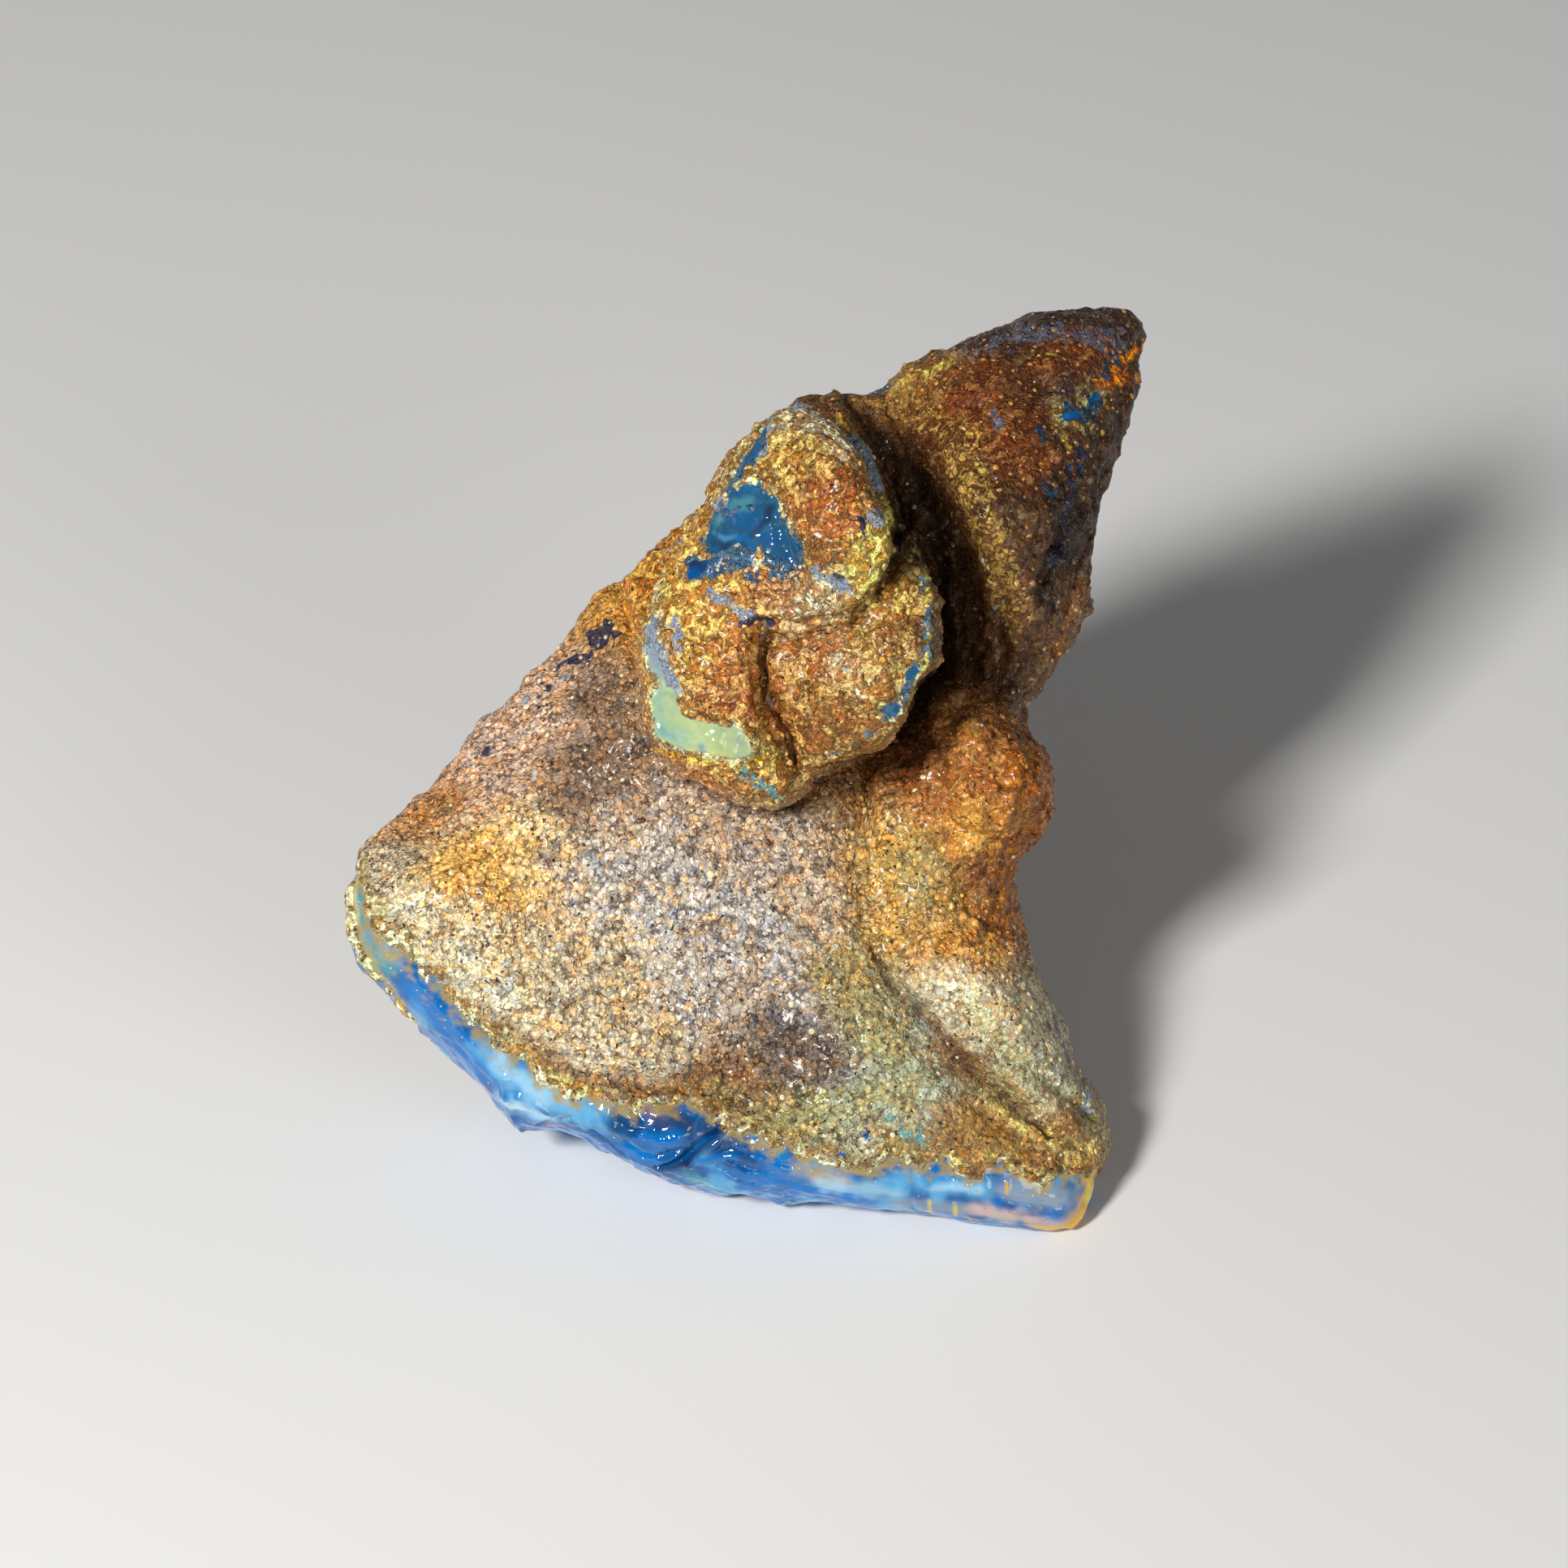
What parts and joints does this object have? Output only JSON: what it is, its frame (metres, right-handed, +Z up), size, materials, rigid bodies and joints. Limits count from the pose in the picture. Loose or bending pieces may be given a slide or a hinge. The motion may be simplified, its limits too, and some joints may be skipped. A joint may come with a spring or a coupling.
{
  "type": "blue amber",
  "caption": "Rough nodule of blue amber with a sandy crust, a lobed knob, a pointed fin and a bare blue lower rim, lying on a flat facet.",
  "frame": {"origin": "centre of the bounding box's base, on the surface that the nodule lies on", "axes": "+Z up, +X to the right along the broad face, +Y away from the viewer, behind the broad face"},
  "size_m": [0.0548, 0.0476, 0.0491],
  "materials": {
    "crusted_amber": "wet-looking sand-brown crust, bare see-through amber with a blue glow along the lower rim",
    "sand_grains": "rounded sand grains, half sunk in the crust"
  },
  "bodies": {
    "root": {"blue_amber": "crusted_amber"}
  },
  "joints": []
}
